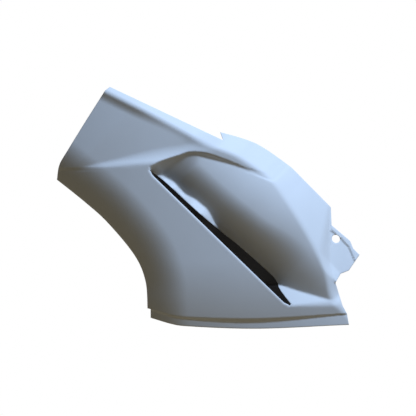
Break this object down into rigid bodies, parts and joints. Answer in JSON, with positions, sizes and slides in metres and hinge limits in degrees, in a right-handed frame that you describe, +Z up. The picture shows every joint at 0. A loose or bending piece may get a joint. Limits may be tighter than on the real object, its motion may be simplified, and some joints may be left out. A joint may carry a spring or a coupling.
{
  "type": "fairing side panel",
  "caption": "Left side panel of a motorbike fairing: a thin moulded shell with a sculpted vent recess, a slot, a stepped lower lip and a rear fixing tab.",
  "frame": {"origin": "centre of the rear fixing hole, in the middle of its wall", "axes": "+X rearward on the bike, +Y inward to the bike's middle, +Z up; the outer face looks to -Y"},
  "size_m": [0.532, 0.0729, 0.4234],
  "materials": {
    "painted_panel": "satin pale grey paint on moulded ABS, bare black ABS inside"
  },
  "bodies": {
    "root": {"fairing_side_panel": "painted_panel"}
  },
  "joints": []
}
